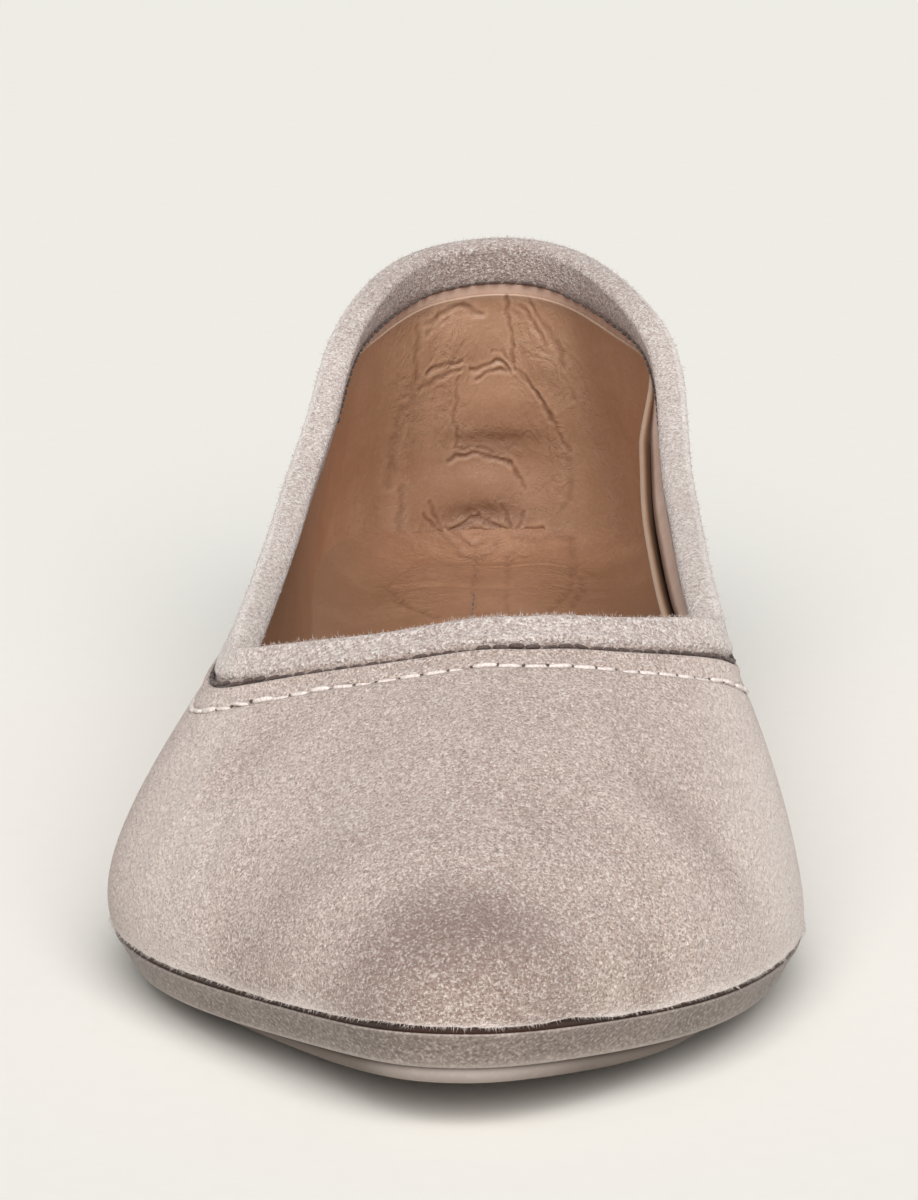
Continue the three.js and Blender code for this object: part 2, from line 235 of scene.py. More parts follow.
def length_share(y):
    """Place along the sole from the heel, as a share of the length."""
    return 0.5 - y / LENGTH


def ground_height(y):
    """Underside of the outsole over the floor."""
    share = length_share(y)
    arch = HEEL_LIFT * (1.0 - blend(ARCH_START, BALL_START, share))
    past = np.clip((share - SPRING_START) / (1.0 - SPRING_START), 0.0, None)
    return arch + TOE_SPRING * past ** SPRING_POWER


def control_row(i, side):
    """One section's values on one side: side is 0 for lateral and 1 for medial."""
    sign = (-1.0, 1.0)[side]
    feather, top, curve = FEATHER[i], TOPLINE[i], WALL_CURVE[i]
    aim = math.radians(curve[8])
    on_axis = i in (0, SECTIONS - 1)
    return [
        sign * feather[1 + side] * BALL_WIDTH,
        LENGTH * (0.5 - feather[0]),
        sign * top[2 + side] * BALL_WIDTH,
        LENGTH * (0.5 - top[side]),
        THROAT_HEIGHT + top[4 + side] * (BACK_HEIGHT - THROAT_HEIGHT),
        math.radians(curve[side]),
        curve[2 + side] * THROAT_HEIGHT,
        math.radians(curve[4 + side]),
        curve[6 + side] * THROAT_HEIGHT,
        0.0 if on_axis else sign * math.cos(aim),
        -math.sin(aim),
    ]


def spline_controls(points):
    """Controls of the closed cubic spline that passes through the points."""
    controls = points.copy()
    for _ in range(SPLINE_PASSES):
        controls = (6.0 * points - np.roll(controls, 1, 0) - np.roll(controls, -1, 0)) / 4.0
    return controls


RING_ROWS = [control_row(i, 0) for i in range(SECTIONS)]
RING_ROWS += [control_row(i, 1) for i in range(SECTIONS - 2, 0, -1)]
RING = spline_controls(np.array(RING_ROWS))
TURN = len(RING)


def ring_at(u):
    """Values of the closed spline at u, counted in sections from the heel back."""
    u = np.asarray(u, float) % TURN
    i = np.floor(u).astype(int)
    t = (u - i)[..., None]
    c = [RING[(i + k) % TURN] for k in (-1, 0, 1, 2)]
    a = (1 - t) ** 3 * c[0] + (3 * t ** 3 - 6 * t ** 2 + 4) * c[1]
    b = (-3 * t ** 3 + 3 * t ** 2 + 3 * t + 1) * c[2] + t ** 3 * c[3]
    return (a + b) / 6.0


def feather_normal(u):
    """Outward plan normal of the feather line."""
    step = 0.02
    along = ring_at(u + step)[..., :2] - ring_at(u - step)[..., :2]
    normal = np.stack([along[..., 1], -along[..., 0]], -1)
    return normal / np.linalg.norm(normal, axis=-1, keepdims=True)


def feather_point(u, offset):
    """Plan point of the feather line moved outwards by offset."""
    return ring_at(u)[..., :2] + feather_normal(u) * np.asarray(offset)[..., None]


def wall_point(u, t):
    """Outer face of the upper: t is 0 at the feather line and 1 at the topline."""
    u, t = np.broadcast_arrays(np.asarray(u, float), np.asarray(t, float))
    v = ring_at(u)
    out = feather_normal(u)
    aim = v[..., 9:11] / np.linalg.norm(v[..., 9:11], axis=-1, keepdims=True)
    lean, reach, top_lean, top_reach = (v[..., k, None] for k in (5, 6, 7, 8))
    foot = np.concatenate([v[..., :2], (ground_height(v[..., 1]) + FEATHER_LEVEL)[..., None]], -1)
    top = v[..., 2:5]
    low = foot + reach * np.concatenate([out * np.cos(lean), np.sin(lean)], -1)
    high = top + top_reach * np.concatenate([aim * np.cos(top_lean), -np.sin(top_lean)], -1)
    t = t[..., None]
    return (1 - t) ** 3 * foot + 3 * (1 - t) ** 2 * t * low + 3 * (1 - t) * t ** 2 * high + t ** 3 * top


def wall_normal(u, t):
    """Outward normal of the upper's outer face."""
    step = 0.01
    around = wall_point(u + step, t) - wall_point(u - step, t)
    upward = wall_point(u, np.minimum(t + step, 1.0)) - wall_point(u, np.maximum(t - step, 0.0))
    normal = np.cross(around, upward)
    return normal / np.linalg.norm(normal, axis=-1, keepdims=True)


def wall_lengths(u):
    """Cumulative length up the wall at FINE_ROWS even places, one row for each u."""
    fine = np.linspace(0.0, 1.0, FINE_ROWS)
    points = wall_point(np.asarray(u)[:, None], fine[None])
    steps = np.linalg.norm(np.diff(points, axis=1), axis=-1)
    return fine, np.concatenate([np.zeros((len(u), 1)), np.cumsum(steps, 1)], 1)


class Shell:
    """The upper's outer face on fixed columns, read by depth below the topline."""

    def __init__(self, u):
        self.u = np.asarray(u, float)
        self.fine, self.lengths = wall_lengths(self.u)
        self.height = self.lengths[:, -1]

    def place(self, depth):
        """t for depths below the topline: depth is one value or one for each column."""
        up = np.clip(self.height - depth, 0.0, None)
        return np.array([np.interp(h, row, self.fine) for h, row in zip(up, self.lengths)])

    def at(self, depth, offset=0.0):
        """Points at a depth below the topline, moved outwards by offset."""
        t = self.place(depth)
        return wall_point(self.u, t) + wall_normal(self.u, t) * np.broadcast_to(offset, t.shape)[:, None]

    def share(self, share, offset=0.0):
        """Points at a share of the wall's height, moved outwards by offset."""
        return self.at(self.height * (1.0 - share), offset)

    def over(self, across, up):
        """Points beside and above the topline, in the plane of the wall's top."""
        top = wall_point(self.u, 1.0)
        normal = wall_normal(self.u, np.ones_like(self.u))
        rise = top - wall_point(self.u, 0.98)
        rise /= np.linalg.norm(rise, axis=-1, keepdims=True)
        return top + normal * across + rise * up


RING_U = np.arange(COLUMNS) * TURN / COLUMNS
SHELL = Shell(RING_U)
LOW_CORNER = np.array(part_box("midsole")[0]) / MM
FEATHER_RING = ring_at(RING_U)[:, :2]
SHIFT = np.array([LOW_CORNER[0] - FEATHER_RING[:, 0].min(), LOW_CORNER[1] - FEATHER_RING[:, 1].min(), 0.0])


def soft_noise(count, waves, seed):
    """A smooth closed random line of count values between about -1 and 1, with up to waves waves."""
    rng = np.random.default_rng(seed)
    angle = np.arange(count) * 2.0 * np.pi / count
    line = np.zeros(count)
    for k in range(2, waves):
        line += rng.normal() * np.cos(k * angle + rng.uniform(0, 2 * np.pi))
    return line / max(np.abs(line).max(), 1e-9)


def add_object(name, data):
    """Makes an object and puts it in the scene."""
    made = bpy.data.objects.new(name, data)
    bpy.context.scene.collection.objects.link(made)
    return made


def add_piece(name, points, faces, material, slot, replaced=(), masks=None):
    """Makes a mesh object from millimetre points and rides it on the body."""
    mesh = bpy.data.meshes.new(name)
    mesh.from_pydata(((points + SHIFT) * MM).tolist(), [], faces)
    mesh.polygons.foreach_set("use_smooth", [True] * len(mesh.polygons))
    for mask, values in (masks or {}).items():
        layer = mesh.attributes.new(mask, "FLOAT", "POINT")
        layer.data.foreach_set("value", np.asarray(values, float))
    mesh.materials.append(material)
    mesh.update()
    piece = add_object(name, mesh)
    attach(piece, "root")
    if replaced:
        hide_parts(*replaced)


def ring_faces(rows, columns, closed):
    """Quads of a tube of rows around something. closed joins the last row to the first."""
    faces = []
    for r in range(rows if closed else rows - 1):
        low, high = r * columns, (r + 1) % rows * columns
        for c in range(columns):
            d = (c + 1) % columns
            faces.append((low + d, low + c, high + c, high + d))
    return faces


def closed_ring(rows):
    """Points and faces of a closed band whose rows run round the shoe and back to the first row."""
    return np.concatenate(rows), ring_faces(len(rows), len(rows[0]), True)


def slab(levels, across=1, dome=None):
    """Points and faces of a solid layer: levels are closed outlines from the bottom up.

    across: strips over the top. dome(points): a lift of the top's inner points."""
    columns = len(levels[0])
    half = columns // 2
    top = (len(levels) - 1) * columns
    inner = top + columns
    faces = ring_faces(len(levels), columns, False)
    for c in range(half):
        quad = (c, c + 1, (columns - c - 1) % columns, (columns - c) % columns)
        faces.append(tuple(dict.fromkeys(quad)))
    shares = np.linspace(0.0, 1.0, across + 1)[1:-1]
    lateral, medial = levels[-1][1:half], levels[-1][:half:-1]
    grid = [lateral * (1 - s) + medial * s for s in shares]
    if dome is not None:
        grid = [dome(row) for row in grid]

    def top_index(strip, c):
        """A top point: on the lateral or the medial half of the last outline, or inside it."""
        if c in (0, half) or strip == 0:
            return top + c
        if strip == across:
            return top + columns - c
        return inner + (strip - 1) * (half - 1) + c - 1

    for c in range(half):
        for strip in range(across):
            quad = [top_index(strip, c), top_index(strip + 1, c)]
            quad += [top_index(strip + 1, c + 1), top_index(strip, c + 1)]
            quad = tuple(dict.fromkeys(quad))
            if len(quad) > 2:
                faces.append(quad)
    return np.concatenate(levels + grid), faces


def outline_level(inset, height):
    """One closed outline of a sole layer: inset from the feather line, height over the ground line."""
    plan = feather_point(RING_U, -np.broadcast_to(inset, RING_U.shape))
    return np.column_stack([plan, ground_height(plan[:, 1]) + height])


def srgb(red, green, blue):
    """Linear colour from screen values of 0 to 255."""
    values = [v / 255.0 for v in (red, green, blue)]
    linear = [v / 12.92 if v <= 0.04045 else ((v + 0.055) / 1.055) ** 2.4 for v in values]
    return (*linear, 1.0)


class Shader:
    """A node material with a Principled surface and object coordinates in metres."""

    def __init__(self, name, **surface):
        self.material = bpy.data.materials.new(name)
        self.material.use_nodes = True
        self.tree = self.material.node_tree
        self.surface = self.tree.nodes["Principled BSDF"]
        for socket, value in surface.items():
            self.surface.inputs[socket.replace("_", " ")].default_value = value
        self.place = self.tree.nodes.new("ShaderNodeTexCoord").outputs["Object"]

    def node(self, kind, settings=None, **inputs):
        made = self.tree.nodes.new(kind)
        for key, value in (settings or {}).items():
            setattr(made, key, value)
        for socket, value in inputs.items():
            self.feed(made.inputs[socket.replace("_", " ")], value)
        return made

    def feed(self, socket, value):
        if isinstance(value, bpy.types.NodeSocket):
            self.tree.links.new(value, socket)
        else:
            socket.default_value = value

    def noise(self, scale, detail=2.0, roughness=0.5, place=None, distortion=0.0):
        made = self.node("ShaderNodeTexNoise", Vector=place or self.place, Scale=scale, Detail=detail,
                         Roughness=roughness, Distortion=distortion)
        return made.outputs["Fac"]

    def stretched(self, x, y, z):
        """The object's coordinates stretched along its axes."""
        return self.node("ShaderNodeMapping", Vector=self.place, Scale=(x, y, z)).outputs["Vector"]

    def mask(self, name):
        return self.node("ShaderNodeAttribute", {"attribute_name": name}).outputs["Fac"]

    def math(self, operation, a, b=0.0):
        made = self.node("ShaderNodeMath", {"operation": operation})
        self.feed(made.inputs[0], a)
        self.feed(made.inputs[1], b)
        return made.outputs[0]

    def remap(self, value, low, high, to_low=0.0, to_high=1.0):
        made = self.node("ShaderNodeMapRange", Value=value, From_Min=low, From_Max=high, To_Min=to_low,
                         To_Max=to_high)
        return made.outputs[0]

    def mix(self, share, a, b):
        made = self.node("ShaderNodeMix", {"data_type": "RGBA"})
        self.feed(made.inputs[0], share)
        self.feed(made.inputs[6], a)
        self.feed(made.inputs[7], b)
        return made.outputs[2]

    def tint(self, colour, other, pattern, low, high, strength=1.0):
        """The colour, moved to another one where a pattern goes from low to high."""
        return self.mix(self.remap(pattern, low, high, 0.0, strength), colour, other)

    def bump(self, height, strength, distance, before=None):
        made = self.node("ShaderNodeBump", Height=height, Strength=strength, Distance=distance)
        if before is not None:
            self.feed(made.inputs["Normal"], before)
        return made.outputs["Normal"]

    def finish(self, colour, normal, roughness=None):
        self.feed(self.surface.inputs["Base Color"], colour)
        self.feed(self.surface.inputs["Normal"], normal)
        if roughness is not None:
            self.feed(self.surface.inputs["Roughness"], roughness)
        return self.material


def suede_material(name, tone, deep, pale, shaded, fineness=1.0):
    """Brushed suede: speckled nap, soft clumps and broad brushed patches."""
    shader = Shader(name, Roughness=0.95, Specular_IOR_Level=0.2, Sheen_Weight=0.6, Sheen_Roughness=0.5,
                    Sheen_Tint=srgb(240, 230, 224))
    speckle = shader.noise(3200.0 * fineness, 3.0, 0.75)
    clumps = shader.noise(1500.0 * fineness, 3.0, 0.65, shader.stretched(1.0, 0.75, 1.2), 0.5)
    brushed = shader.noise(48.0, 3.0, 0.55, None, 0.6)
    colour = shader.tint(deep, tone, brushed, 0.36, 0.66)
    # Masks: shade lays painted shade, pale a pale raw edge and painted highlights, dark painted shade in the
    # groove and the dark flesh side
    colour = shader.mix(shader.mask("shade"), colour, shaded)
    colour = shader.tint(colour, pale, clumps, 0.53, 0.66, 0.5)
    colour = shader.tint(colour, shaded, clumps, 0.47, 0.34, 0.5)
    colour = shader.tint(colour, pale, speckle, 0.53, 0.64, 0.9)
    colour = shader.tint(colour, shaded, speckle, 0.47, 0.36, 0.9)
    colour = shader.mix(shader.math("MULTIPLY", shader.mask("shade"), 0.55), colour, shaded)
    colour = shader.mix(shader.mask("pale"), colour, pale)
    colour = shader.mix(shader.mask("dark"), colour, srgb(98, 74, 62))
    normal = shader.bump(speckle, 1.0, 0.0003)
    normal = shader.bump(clumps, 1.0, 0.0006, normal)
    return shader.finish(colour, normal)


def leather_material(name, tone, deep, pale):
    """Smooth lining leather with fine pores, hairline wrinkles and soft mottling."""
    shader = Shader(name, Roughness=0.5, Specular_IOR_Level=0.4, Coat_Weight=0.05, Coat_Roughness=0.35)
    pores = shader.noise(1700.0, 3.0, 0.6)
    mottle = shader.noise(110.0, 3.0, 0.55)
    lines = shader.noise(330.0, 3.0, 0.6, shader.stretched(0.8, 1.0, 1.5), 1.6)
    from_line = shader.math("ABSOLUTE", shader.math("SUBTRACT", lines, 0.5))
    hairline = shader.remap(from_line, 0.0, 0.018, 1.0, 0.0)
    hairline = shader.math("MULTIPLY", hairline, shader.remap(mottle, 0.46, 0.6))
    colour = shader.tint(deep, tone, mottle, 0.35, 0.68)
    colour = shader.tint(colour, pale, pores, 0.5, 0.8, 0.35)
    # Painted shade in the hairline wrinkles
    colour = shader.mix(shader.math("MULTIPLY", hairline, 0.2), colour, srgb(96, 60, 40))
    colour = shader.mix(shader.mask("pale"), colour, pale)
    colour = shader.mix(shader.mask("dark"), colour, srgb(92, 56, 36))
    crumple = shader.noise(420.0, 4.0, 0.6, shader.stretched(1.0, 1.0, 0.7), 0.8)
    normal = shader.bump(pores, 0.2, 0.0001)
    normal = shader.bump(shader.math("MULTIPLY", hairline, -1.0), 0.4, 0.0002, normal)
    normal = shader.bump(shader.math("MULTIPLY", crumple, shader.mask("crumple")), 0.8, 0.0012, normal)
    return shader.finish(colour, normal, shader.remap(mottle, 0.3, 0.7, 0.44, 0.58))


def rand_material():
    """Fine grained wrapped cover of the midsole."""
    shader = Shader("rand_cover", Roughness=0.8, Specular_IOR_Level=0.25, Sheen_Weight=0.15,
                    Sheen_Roughness=0.5)
    grain = shader.noise(2300.0, 3.0, 0.6)
    clouds = shader.noise(90.0, 3.0, 0.55)
    colour = shader.tint(srgb(116, 104, 96), srgb(134, 121, 113), clouds, 0.35, 0.65)
    colour = shader.tint(colour, srgb(184, 172, 164), grain, 0.52, 0.68, 0.7)
    colour = shader.tint(colour, srgb(86, 75, 68), grain, 0.48, 0.34, 0.7)
    # Painted highlight along the rounded edges, laid by the pale mask
    colour = shader.mix(shader.mask("pale"), colour, srgb(196, 184, 175))
    normal = shader.bump(grain, 0.4, 0.00014)
    return shader.finish(colour, normal)


def rubber_material():
    """Plain matt outsole rubber."""
    shader = Shader("outsole_rubber", Roughness=0.72, Specular_IOR_Level=0.35)
    grain = shader.noise(1400.0, 2.0, 0.5)
    clouds = shader.noise(70.0, 3.0, 0.5)
    colour = shader.tint(srgb(150, 139, 131), srgb(164, 152, 144), clouds, 0.35, 0.65)
    colour = shader.tint(colour, srgb(180, 170, 162), grain, 0.5, 0.8, 0.3)
    # Painted shade on the outsole away from the toe and on the heel block
    colour = shader.mix(shader.mask("dark"), colour, srgb(106, 95, 88))
    return shader.finish(colour, shader.bump(grain, 0.2, 0.0001))


def thread_material(name, tone, deep):
    """Twisted sewing thread."""
    shader = Shader(name, Roughness=0.7, Specular_IOR_Level=0.3, Sheen_Weight=0.2)
    twist = shader.noise(3800.0, 1.0, 0.5, shader.stretched(1.0, 1.0, 0.5))
    colour = shader.tint(deep, tone, twist, 0.35, 0.65)
    return shader.finish(colour, shader.bump(twist, 0.4, 0.0001))


SUEDE = suede_material(
    "upper_suede", srgb(206, 185, 173), srgb(190, 168, 156), srgb(250, 238, 230), srgb(128, 106, 96))
BINDING = suede_material(
    "binding_suede", srgb(221, 206, 198), srgb(204, 187, 179), srgb(254, 249, 244), srgb(132, 114, 107), 0.85)
LINING = leather_material("lining_leather", srgb(216, 175, 143), srgb(198, 156, 124), srgb(234, 206, 182))
# The footbed's leather is a darker copy of the lining's: painted shade
FOOTBED_SHADED_LEATHER = leather_material("footbed_leather_shaded", srgb(160, 121, 94), srgb(144, 106, 80), srgb(184, 150, 124))
FACING = leather_material("facing_leather", srgb(236, 208, 190), srgb(222, 190, 170), srgb(242, 222, 210))
# Very dark leather of the lasting margin, as painted shade of the gap over the sole's edge
MARGIN_SHADE_LEATHER = leather_material("margin_shade_leather", srgb(64, 40, 30), srgb(48, 30, 23), srgb(84, 56, 43))
RAND = rand_material()
RUBBER = rubber_material()
PALE_THREAD = thread_material("pale_thread", srgb(234, 223, 217), srgb(206, 193, 185))
NAP_THREAD = thread_material("nap_fibre", srgb(226, 214, 207), srgb(190, 174, 166))
# Dark thread, also used for painted shade in the needle holes and the groove
DARK_THREAD_AND_SHADE = thread_material("dark_thread_and_shade", srgb(96, 80, 74), srgb(70, 56, 52))

# Soft folds of the vamp: depth (a ridge where negative), width and plan path
VAMP_FOLDS = (
    (-0.45, 2.4, ((6, -116), (13.3, -109.2), (21.4, -98.4))),
    (0.4, 5, ((13.7, -84.4), (20.7, -82.9), (27.1, -81.1))),
    (0.35, 1.5, ((-34.4, -81.6), (-33.3, -79.9), (-32.6, -77.1))),
    (-0.4, 3.2, ((-40.2, -71), (-37.4, -69.1), (-33.9, -66.5))),
    (0.35, 5.5, ((-30, -70), (-24, -78), (-20, -88))),
    (0.3, 6, ((-8, -96), (2, -98), (10, -94))),
)

# Painted shade on the vamp (painted highlight where negative): strength, middle and half sizes
VAMP_PAINTED_LIGHT = (
    (0.95, (-5, -114.5), (15, 5.5)),
    (0.21, (-18, -97), (12, 8)),
    (0.24, (4, -99), (9, 7)),
    (0.32, (21, -84.5), (8, 4.5)),
    (0.24, (-31, -68), (5, 6)),
    (0.28, (16, -107), (6, 3)),
    (0.21, (-32, -97), (9, 6)),
    (0.15, (-2, -66), (20, 26)),
    (-0.7, (36, -60), (10, 32)),
    (-0.3, (-38, -66), (8, 20)),
)

# Gap over the sole's edge: how far the raw suede lifts, where, and over how many sections
EDGE_LIFTS = (
    (0.34, 14.9, 1.5),
    (0.3, 12.3, 1.6),
    (0.22, 16.45, 0.35),
    (0.3, 19.2, 1.6),
    (0.25, 10.2, 1.6),
)


def around(u):
    """Sections from 0 to TURN."""
    return np.asarray(u, float) % TURN


def bell(value, middle, half):
    """1 at the middle, fading to 0 beyond the half width."""
    return np.exp(-((value - middle) / half) ** 2)


def crease(points, path, width):
    """A soft trough along a path in the plane: 1 on the path, a low ridge at its sides and 0 beyond."""
    nearest = np.full(len(points), np.inf)
    for start, end in zip(path, path[1:]):
        a, b = np.array(start), np.array(end)
        t = np.clip(((points - a) @ (b - a)) / ((b - a) @ (b - a)), 0.0, 1.0)
        nearest = np.minimum(nearest, np.linalg.norm(points - (a + t[:, None] * (b - a)), axis=1))
    return bell(nearest, 0.0, width) - 0.25 * bell(nearest, 1.9 * width, width)


def creases(points, table):
    """Sum of the creases of a table, with slightly unsteady paths and depths."""
    across, along = points[:, 0], points[:, 1]
    wander = np.column_stack([
        np.sin(1.1 * along + 0.9 * across) + 0.6 * np.sin(2.9 * along - 1.3 * across),
        np.sin(1.3 * across - 0.7 * along) + 0.6 * np.sin(2.3 * across + 1.1 * along),
    ])
    strength = 0.72 + 0.28 * np.sin(1.1 * across + 2.0) * np.sin(1.3 * along)
    return strength * sum(depth * crease(points + 0.17 * wander, path, width) for depth, width, path in table)


def patches(points, table):
    """Sum of the soft oval patches of a table at points in the plane."""
    total = np.zeros(len(points))
    for strength, middle, half in table:
        total += strength * np.exp(-(((points - middle) / half) ** 2).sum(1))
    return total


def binding_inner_depth(u):
    """How far the binding reaches down inside: deep in the heel, shallow along the sides."""
    side = blend(BACK_BAND_START, BACK_BAND_END, length_share(ring_at(u)[:, 3]))
    return BINDING_BACK_DEPTH + (BINDING_SIDE_DEPTH - BINDING_BACK_DEPTH) * side


def loose_edge(u):
    """How loose the lining's edge hangs: 1 along the medial side and 0 elsewhere."""
    return blend(*LOOSE_FRONT, around(u)) * (1.0 - blend(*LOOSE_BACK, around(u)))


def lining_top(u):
    """Depth of the lining's edge: a strip under the binding at the heel and the medial side."""
    from_heel = np.minimum(around(u), TURN - around(u))
    strip = 2.1 * (1.0 - blend(2.2, 3.6, from_heel)) + 2.6 * loose_edge(u) - 0.6
    return binding_inner_depth(u) + strip


def edge_gap(u):
    """How far the raw edge of the suede stands over the sole."""
    slow = soft_noise(len(u), 26, 4)
    fast = soft_noise(len(u), 150, 3)
    lift = 0.24 + sum(height * bell(around(u), middle, half) for height, middle, half in EDGE_LIFTS)
    return np.clip(lift * (1.0 + 0.45 * slow) + 0.13 * fast, 0.0, None)


def vamp_profile(depth):
    """Relief of the suede below the binding: the groove, its puffed lower edge and the stitched channel."""
    groove = -0.8 * bell(depth, GROOVE_DEPTH, 0.5)
    puff = 0.3 * bell(depth, GROOVE_DEPTH + 1.25, 0.6)
    channel = -0.3 * bell(depth, VAMP_STITCH_DEPTH + 0.1, 0.5)
    return groove + puff + channel


def row_mask(rows, more, value=0.0):
    """A mask from its rows, with one value on more rows after them."""
    return np.concatenate(rows + [np.full(len(rows[0]), value)] * more)


def make_upper():
    """Suede shell: a raw wavy lower edge, folds of the vamp, the seam groove and its own flesh side."""
    low = [SHELL.height - up for up in LOW_ROWS]
    room = low[-1] - TOP_ZONE
    middle = [low[-1] - room * k / MIDDLE_ROWS for k in range(1, MIDDLE_ROWS)]
    top = [np.full(COLUMNS, depth) for depth in np.linspace(TOP_ZONE, 0.0, TOP_ROWS)]
    gap = edge_gap(RING_U)
    rows, pale, shade, dark = [], [], [], []
    for depth in low + middle + top:
        up = SHELL.height - depth
        row = SHELL.at(depth)
        plan = row[:, :2]
        relief = vamp_profile(depth) - creases(plan, VAMP_FOLDS) * blend(2.0, 7.0, up)
        relief += 0.16 * np.sin(plan[:, 0] / 6.1 + 1.0) * np.sin(plan[:, 1] / 7.3) * blend(2.0, 9.0, up)
        row += wall_normal(RING_U, SHELL.place(depth)) * (relief + 0.1 * np.exp(-up / 0.8))[:, None]
        row[:, 2] += gap * np.exp(-up / EDGE_FADE)
        # Painted shade on the vamp, and painted highlights on its sides where negative
        painted_light = patches(plan, VAMP_PAINTED_LIGHT)
        rows.append(row)
        pale.append(np.clip(0.85 * np.exp(-up / 0.8) + 0.2 * np.exp(-up / 5.0) - painted_light, 0.0, 0.9))
        shade.append(np.clip(painted_light, 0.0, 0.95))
        # Painted shade in the groove under the binding and in the channel under the stitches
        groove = bell(depth, GROOVE_DEPTH + 0.1, 0.65)
        channel = bell(depth, VAMP_STITCH_DEPTH + 0.45, 0.3)
        dark.append(0.9 * groove + 0.5 * channel)
    back = [SHELL.share(share, -SUEDE_THICKNESS) for share in np.linspace(1.0, 0.0, FLESH_ROWS)]
    back[-1][:, 2] = rows[0][:, 2]
    points, faces = closed_ring(rows + back)
    masks = {
        "pale": row_mask(pale, FLESH_ROWS),
        "shade": row_mask(shade, FLESH_ROWS),
        "dark": row_mask(dark, FLESH_ROWS, 1.0),
    }
    add_piece("upper_suede", points, faces, SUEDE, "suede", ["upper"], masks)


# Outer leg of the binding: depth below the topline and distance from the suede
BINDING_LEG = (
    (4.2, -0.5),
    (4.0, 0.0),
    (3.8, 0.35),
    (3.45, 0.52),
    (3.1, 0.58),
    (2.7, 0.55),
    (1.9, 0.6),
    (1.1, 0.8),
    (0.5, 1.0),
)


def make_binding():
    """Folded strip: a puffed outer leg that ends in the groove, a round top and an inner leg."""
    inner = WALL + BINDING_FACE
    half = (BINDING_FACE + inner) / 2.0
    wave = 0.07 * soft_noise(COLUMNS, 120, 8)
    depth = binding_inner_depth(RING_U)
    rows = [SHELL.at(d, offset + wave) for d, offset in BINDING_LEG]
    for angle in np.linspace(0.0, math.pi, ROLL_ROWS):
        rows.append(SHELL.over(half * math.cos(angle) - WALL / 2.0, BINDING_FACE * math.sin(angle)))
    for s in np.linspace(0.08, 1.0, INNER_LEG_ROWS):
        rows.append(SHELL.at(depth * s, -inner + 0.7 * BINDING_THICKNESS * s ** 5 + wave))
    rows.append(SHELL.at(depth + 0.1, -WALL - 0.1))
    rows.append(SHELL.over(-WALL - CLEARANCE, CLEARANCE))
    rows.append(SHELL.over(CLEARANCE, CLEARANCE))
    points, faces = closed_ring(rows)
    at_back = blend(0.3 * LENGTH, 0.46 * LENGTH, points[:, 1])
    inside = np.repeat(np.arange(len(rows)) >= len(BINDING_LEG) + ROLL_OUTSIDE, COLUMNS)
    throat = SHELL.over(0.0, 0.0)[:, 1].min()
    at_front = 1.0 - blend(throat + 8.0, throat + 22.0, points[:, 1])
    # Painted shade inside the heel and on the front band, painted highlights on the outer sides
    masks = {
        "pale": np.where(inside, 0.0, 0.45) * (1.0 - at_back) * (1.0 - at_front),
        "shade": at_back * np.where(inside, 0.42, 0.1) + 0.2 * at_front,
    }
    add_piece("topline_binding_suede", points, faces, BINDING, "binding_suede", ["topline_binding"], masks)


def make_facing():
    """Strip of the wall's own leather between the binding and the lining's edge."""
    slack = loose_edge(RING_U)
    start = binding_inner_depth(RING_U) - 1.0
    end = lining_top(RING_U) + 0.6 - 0.8 * slack
    face = WALL + 0.5
    lean = FACING_LEAN * slack
    rows = [SHELL.at(start + (end - start) * s, -face - lean * s) for s in (0.0, 0.35, 0.7, 1.0)]
    rows += [SHELL.at(end, -face + 0.35 - lean), SHELL.at(start, -face + 0.35)]
    points, faces = closed_ring(rows)
    # Darker towards the heel back: painted shade
    masks = {"dark": 0.3 * blend(0.38 * LENGTH, 0.45 * LENGTH, points[:, 1])}
    add_piece("lining_facing", points, faces, FACING, "lining_leather", (), masks)


